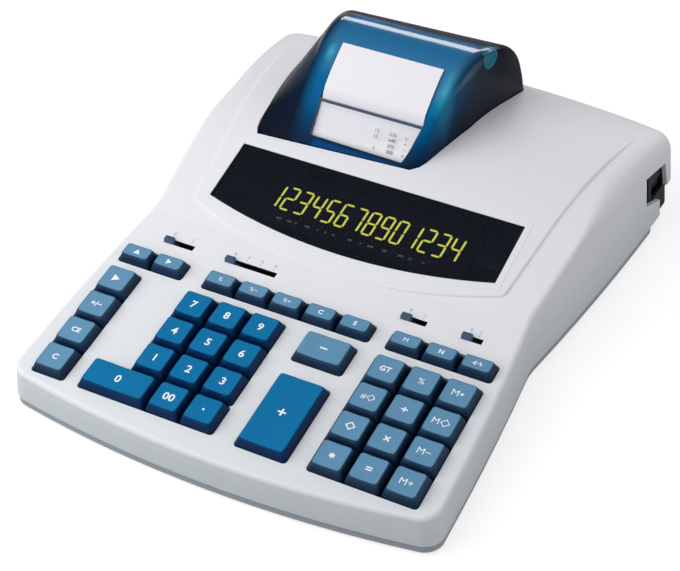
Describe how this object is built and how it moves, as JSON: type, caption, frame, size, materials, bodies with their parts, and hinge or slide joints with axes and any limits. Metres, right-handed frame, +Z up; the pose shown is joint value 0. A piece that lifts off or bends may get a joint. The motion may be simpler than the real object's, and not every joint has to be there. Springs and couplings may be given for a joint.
{
  "type": "desktop printing calculator",
  "caption": "Desktop calculator with a sloping key deck, a wide display window, and a roll printer under a tinted cover that lifts at the front.",
  "frame": {"origin": "on the desk, under the middle of the outline seen from above", "axes": "+X to the user's right, +Y away from the user towards the printer, +Z up"},
  "size_m": [0.2512, 0.3376, 0.0963],
  "materials": {
    "casing_grey": "fine satin moulding, light warm grey",
    "base_grey": "satin moulding, dark grey",
    "black_plastic": "black moulding",
    "pale_blue_key": "satin, steel blue with white legends",
    "strong_blue_key": "satin, strong blue with white legends",
    "window_clear": "clear acrylic, dark behind",
    "tube_glass": "display glass",
    "cover_tint": "see-through teal tint",
    "paper": "plain white roll paper",
    "steel_plate": "zinc plated sheet",
    "core_steel": "varnished laminations",
    "screw_steel": "zinc plated",
    "black_rubber": "matt",
    "board_green": "glass-fibre board with solder mask"
  },
  "bodies": {
    "base": {"upper_casing": "casing_grey", "lower_casing": "base_grey", "rear_panel": "black_plastic", "display_window": "window_clear", "display_tube": "tube_glass", "circuit_boards": "board_green", "transformer": "core_steel", "key_plate": "steel_plate", "printer_frame": "steel_plate", "rubber_feet": "black_rubber", "case_screws": "screw_steel"},
    "cover": {"printer_cover": "cover_tint", "paper_strip": "paper"},
    "paper_supply": {"paper_roll": "paper"},
    "platen": {"platen_roller": "black_rubber"},
    "rocker": {"power_rocker": "black_plastic"},
    "key_clear_body": {"key_clear": "pale_blue_key"},
    "key_clear_entry_body": {"key_clear_entry": "pale_blue_key"},
    "key_sign_change_body": {"key_sign_change": "pale_blue_key"},
    "key_backspace_body": {"key_backspace": "pale_blue_key"},
    "key_memory_plus_body": {"key_memory_plus": "pale_blue_key"},
    "key_memory_minus_body": {"key_memory_minus": "pale_blue_key"},
    "key_memory_subtotal_body": {"key_memory_subtotal": "pale_blue_key"},
    "key_memory_total_body": {"key_memory_total": "pale_blue_key"},
    "key_equals_body": {"key_equals": "pale_blue_key"},
    "key_multiply_body": {"key_multiply": "pale_blue_key"},
    "key_divide_body": {"key_divide": "pale_blue_key"},
    "key_percent_body": {"key_percent": "pale_blue_key"},
    "key_total_body": {"key_total": "pale_blue_key"},
    "key_subtotal_body": {"key_subtotal": "pale_blue_key"},
    "key_non_add_body": {"key_non_add": "pale_blue_key"},
    "key_grand_total_body": {"key_grand_total": "pale_blue_key"},
    "key_digit_1_body": {"key_digit_1": "strong_blue_key"},
    "key_digit_4_body": {"key_digit_4": "strong_blue_key"},
    "key_digit_7_body": {"key_digit_7": "strong_blue_key"},
    "key_digit_2_body": {"key_digit_2": "strong_blue_key"},
    "key_digit_5_body": {"key_digit_5": "strong_blue_key"},
    "key_digit_8_body": {"key_digit_8": "strong_blue_key"},
    "key_digit_3_body": {"key_digit_3": "strong_blue_key"},
    "key_digit_6_body": {"key_digit_6": "strong_blue_key"},
    "key_digit_9_body": {"key_digit_9": "strong_blue_key"},
    "key_digit_0_body": {"key_digit_0": "strong_blue_key"},
    "key_digit_00_body": {"key_digit_00": "strong_blue_key"},
    "key_decimal_point_body": {"key_decimal_point": "strong_blue_key"},
    "key_plus_body": {"key_plus": "strong_blue_key"},
    "key_minus_body": {"key_minus": "pale_blue_key"},
    "key_paper_feed_body": {"key_paper_feed": "pale_blue_key"},
    "key_shift_body": {"key_shift": "pale_blue_key"},
    "key_rate_body": {"key_rate": "pale_blue_key"},
    "key_tax_minus_body": {"key_tax_minus": "pale_blue_key"},
    "key_tax_plus_body": {"key_tax_plus": "pale_blue_key"},
    "key_cost_body": {"key_cost": "pale_blue_key"},
    "key_selling_price_body": {"key_selling_price": "pale_blue_key"},
    "key_margin_body": {"key_margin": "pale_blue_key"},
    "key_item_count_body": {"key_item_count": "pale_blue_key"},
    "key_exchange_body": {"key_exchange": "pale_blue_key"},
    "switch_knob_1_body": {"switch_knob_1": "pale_blue_key"},
    "switch_knob_2_body": {"switch_knob_2": "pale_blue_key"},
    "switch_knob_3_body": {"switch_knob_3": "pale_blue_key"},
    "switch_knob_4_body": {"switch_knob_4": "pale_blue_key"}
  },
  "joints": [
    {"name": "key_clear_press", "type": "slide", "parent": "base", "child": "key_clear_body", "axis": [0, 0.1219, -0.9925], "range_m": [0, 0.0028], "stiffness_N_per_m": 120, "springref_m": -0.003},
    {"name": "key_clear_entry_press", "type": "slide", "parent": "base", "child": "key_clear_entry_body", "axis": [0, 0.1219, -0.9925], "range_m": [0, 0.0028], "stiffness_N_per_m": 120, "springref_m": -0.003},
    {"name": "key_sign_change_press", "type": "slide", "parent": "base", "child": "key_sign_change_body", "axis": [0, 0.1219, -0.9925], "range_m": [0, 0.0028], "stiffness_N_per_m": 120, "springref_m": -0.003},
    {"name": "key_backspace_press", "type": "slide", "parent": "base", "child": "key_backspace_body", "axis": [0, 0.1219, -0.9925], "range_m": [0, 0.0028], "stiffness_N_per_m": 120, "springref_m": -0.003},
    {"name": "key_memory_plus_press", "type": "slide", "parent": "base", "child": "key_memory_plus_body", "axis": [0, 0.1219, -0.9925], "range_m": [0, 0.0028], "stiffness_N_per_m": 120, "springref_m": -0.003},
    {"name": "key_memory_minus_press", "type": "slide", "parent": "base", "child": "key_memory_minus_body", "axis": [0, 0.1219, -0.9925], "range_m": [0, 0.0028], "stiffness_N_per_m": 120, "springref_m": -0.003},
    {"name": "key_memory_subtotal_press", "type": "slide", "parent": "base", "child": "key_memory_subtotal_body", "axis": [0, 0.1219, -0.9925], "range_m": [0, 0.0028], "stiffness_N_per_m": 120, "springref_m": -0.003},
    {"name": "key_memory_total_press", "type": "slide", "parent": "base", "child": "key_memory_total_body", "axis": [0, 0.1219, -0.9925], "range_m": [0, 0.0028], "stiffness_N_per_m": 120, "springref_m": -0.003},
    {"name": "key_equals_press", "type": "slide", "parent": "base", "child": "key_equals_body", "axis": [0, 0.1219, -0.9925], "range_m": [0, 0.0028], "stiffness_N_per_m": 120, "springref_m": -0.003},
    {"name": "key_multiply_press", "type": "slide", "parent": "base", "child": "key_multiply_body", "axis": [0, 0.1219, -0.9925], "range_m": [0, 0.0028], "stiffness_N_per_m": 120, "springref_m": -0.003},
    {"name": "key_divide_press", "type": "slide", "parent": "base", "child": "key_divide_body", "axis": [0, 0.1219, -0.9925], "range_m": [0, 0.0028], "stiffness_N_per_m": 120, "springref_m": -0.003},
    {"name": "key_percent_press", "type": "slide", "parent": "base", "child": "key_percent_body", "axis": [0, 0.1219, -0.9925], "range_m": [0, 0.0028], "stiffness_N_per_m": 120, "springref_m": -0.003},
    {"name": "key_total_press", "type": "slide", "parent": "base", "child": "key_total_body", "axis": [0, 0.1219, -0.9925], "range_m": [0, 0.0028], "stiffness_N_per_m": 120, "springref_m": -0.003},
    {"name": "key_subtotal_press", "type": "slide", "parent": "base", "child": "key_subtotal_body", "axis": [0, 0.1219, -0.9925], "range_m": [0, 0.0028], "stiffness_N_per_m": 120, "springref_m": -0.003},
    {"name": "key_non_add_press", "type": "slide", "parent": "base", "child": "key_non_add_body", "axis": [0, 0.1219, -0.9925], "range_m": [0, 0.0028], "stiffness_N_per_m": 120, "springref_m": -0.003},
    {"name": "key_grand_total_press", "type": "slide", "parent": "base", "child": "key_grand_total_body", "axis": [0, 0.1219, -0.9925], "range_m": [0, 0.0028], "stiffness_N_per_m": 120, "springref_m": -0.003},
    {"name": "key_digit_1_press", "type": "slide", "parent": "base", "child": "key_digit_1_body", "axis": [0, 0.1219, -0.9925], "range_m": [0, 0.0028], "stiffness_N_per_m": 120, "springref_m": -0.003},
    {"name": "key_digit_4_press", "type": "slide", "parent": "base", "child": "key_digit_4_body", "axis": [0, 0.1219, -0.9925], "range_m": [0, 0.0028], "stiffness_N_per_m": 120, "springref_m": -0.003},
    {"name": "key_digit_7_press", "type": "slide", "parent": "base", "child": "key_digit_7_body", "axis": [0, 0.1219, -0.9925], "range_m": [0, 0.0028], "stiffness_N_per_m": 120, "springref_m": -0.003},
    {"name": "key_digit_2_press", "type": "slide", "parent": "base", "child": "key_digit_2_body", "axis": [0, 0.1219, -0.9925], "range_m": [0, 0.0028], "stiffness_N_per_m": 120, "springref_m": -0.003},
    {"name": "key_digit_5_press", "type": "slide", "parent": "base", "child": "key_digit_5_body", "axis": [0, 0.1219, -0.9925], "range_m": [0, 0.0028], "stiffness_N_per_m": 120, "springref_m": -0.003},
    {"name": "key_digit_8_press", "type": "slide", "parent": "base", "child": "key_digit_8_body", "axis": [0, 0.1219, -0.9925], "range_m": [0, 0.0028], "stiffness_N_per_m": 120, "springref_m": -0.003},
    {"name": "key_digit_3_press", "type": "slide", "parent": "base", "child": "key_digit_3_body", "axis": [0, 0.1219, -0.9925], "range_m": [0, 0.0028], "stiffness_N_per_m": 120, "springref_m": -0.003},
    {"name": "key_digit_6_press", "type": "slide", "parent": "base", "child": "key_digit_6_body", "axis": [0, 0.1219, -0.9925], "range_m": [0, 0.0028], "stiffness_N_per_m": 120, "springref_m": -0.003},
    {"name": "key_digit_9_press", "type": "slide", "parent": "base", "child": "key_digit_9_body", "axis": [0, 0.1219, -0.9925], "range_m": [0, 0.0028], "stiffness_N_per_m": 120, "springref_m": -0.003},
    {"name": "key_digit_0_press", "type": "slide", "parent": "base", "child": "key_digit_0_body", "axis": [0, 0.1219, -0.9925], "range_m": [0, 0.0028], "stiffness_N_per_m": 180, "springref_m": -0.003},
    {"name": "key_digit_00_press", "type": "slide", "parent": "base", "child": "key_digit_00_body", "axis": [0, 0.1219, -0.9925], "range_m": [0, 0.0028], "stiffness_N_per_m": 120, "springref_m": -0.003},
    {"name": "key_decimal_point_press", "type": "slide", "parent": "base", "child": "key_decimal_point_body", "axis": [0, 0.1219, -0.9925], "range_m": [0, 0.0028], "stiffness_N_per_m": 120, "springref_m": -0.003},
    {"name": "key_plus_press", "type": "slide", "parent": "base", "child": "key_plus_body", "axis": [0, 0.1219, -0.9925], "range_m": [0, 0.0028], "stiffness_N_per_m": 180, "springref_m": -0.003},
    {"name": "key_minus_press", "type": "slide", "parent": "base", "child": "key_minus_body", "axis": [0, 0.1219, -0.9925], "range_m": [0, 0.0028], "stiffness_N_per_m": 120, "springref_m": -0.003},
    {"name": "key_paper_feed_press", "type": "slide", "parent": "base", "child": "key_paper_feed_body", "axis": [0, 0.1219, -0.9925], "range_m": [0, 0.0028], "stiffness_N_per_m": 120, "springref_m": -0.003},
    {"name": "key_shift_press", "type": "slide", "parent": "base", "child": "key_shift_body", "axis": [0, 0.1219, -0.9925], "range_m": [0, 0.0028], "stiffness_N_per_m": 120, "springref_m": -0.003},
    {"name": "key_rate_press", "type": "slide", "parent": "base", "child": "key_rate_body", "axis": [0, 0.1219, -0.9925], "range_m": [0, 0.0028], "stiffness_N_per_m": 120, "springref_m": -0.003},
    {"name": "key_tax_minus_press", "type": "slide", "parent": "base", "child": "key_tax_minus_body", "axis": [0, 0.1219, -0.9925], "range_m": [0, 0.0028], "stiffness_N_per_m": 120, "springref_m": -0.003},
    {"name": "key_tax_plus_press", "type": "slide", "parent": "base", "child": "key_tax_plus_body", "axis": [0, 0.1219, -0.9925], "range_m": [0, 0.0028], "stiffness_N_per_m": 120, "springref_m": -0.003},
    {"name": "key_cost_press", "type": "slide", "parent": "base", "child": "key_cost_body", "axis": [0, 0.1219, -0.9925], "range_m": [0, 0.0028], "stiffness_N_per_m": 120, "springref_m": -0.003},
    {"name": "key_selling_price_press", "type": "slide", "parent": "base", "child": "key_selling_price_body", "axis": [0, 0.1219, -0.9925], "range_m": [0, 0.0028], "stiffness_N_per_m": 120, "springref_m": -0.003},
    {"name": "key_margin_press", "type": "slide", "parent": "base", "child": "key_margin_body", "axis": [0, 0.1219, -0.9925], "range_m": [0, 0.0028], "stiffness_N_per_m": 120, "springref_m": -0.003},
    {"name": "key_item_count_press", "type": "slide", "parent": "base", "child": "key_item_count_body", "axis": [0, 0.1219, -0.9925], "range_m": [0, 0.0028], "stiffness_N_per_m": 120, "springref_m": -0.003},
    {"name": "key_exchange_press", "type": "slide", "parent": "base", "child": "key_exchange_body", "axis": [0, 0.1219, -0.9925], "range_m": [0, 0.0028], "stiffness_N_per_m": 120, "springref_m": -0.003},
    {"name": "switch_knob_1_slide", "type": "slide", "parent": "base", "child": "switch_knob_1_body", "axis": [1, 0, 0], "range_m": [0, 0.0114]},
    {"name": "switch_knob_2_slide", "type": "slide", "parent": "base", "child": "switch_knob_2_body", "axis": [1, 0, 0], "range_m": [0, 0.0235]},
    {"name": "switch_knob_3_slide", "type": "slide", "parent": "base", "child": "switch_knob_3_body", "axis": [1, 0, 0], "range_m": [0, 0.008]},
    {"name": "switch_knob_4_slide", "type": "slide", "parent": "base", "child": "switch_knob_4_body", "axis": [1, 0, 0], "range_m": [0, 0.0052]},
    {"name": "power_rocker_tilt", "type": "hinge", "parent": "base", "child": "rocker", "pos_m": [0.1144, 0.12699, 0.023], "axis": [0, 0, 1], "range_deg": [0, 16]},
    {"name": "cover_lift", "type": "hinge", "parent": "base", "child": "cover", "pos_m": [-0.029, 0.15494, 0.04505], "axis": [-1, 0, 0], "range_deg": [0, 75]},
    {"name": "roll_turn", "type": "hinge", "parent": "base", "child": "paper_supply", "pos_m": [-0.02, 0.11166, 0.04779], "axis": [1, 0, 0], "continuous": true},
    {"name": "platen_turn", "type": "hinge", "parent": "base", "child": "platen", "pos_m": [-0.02, 0.05201, 0.04551], "axis": [1, 0, 0], "continuous": true}
  ],
  "couplings": [
    {"joint": "platen_turn", "follows": "roll_turn", "ratio": 4}
  ]
}
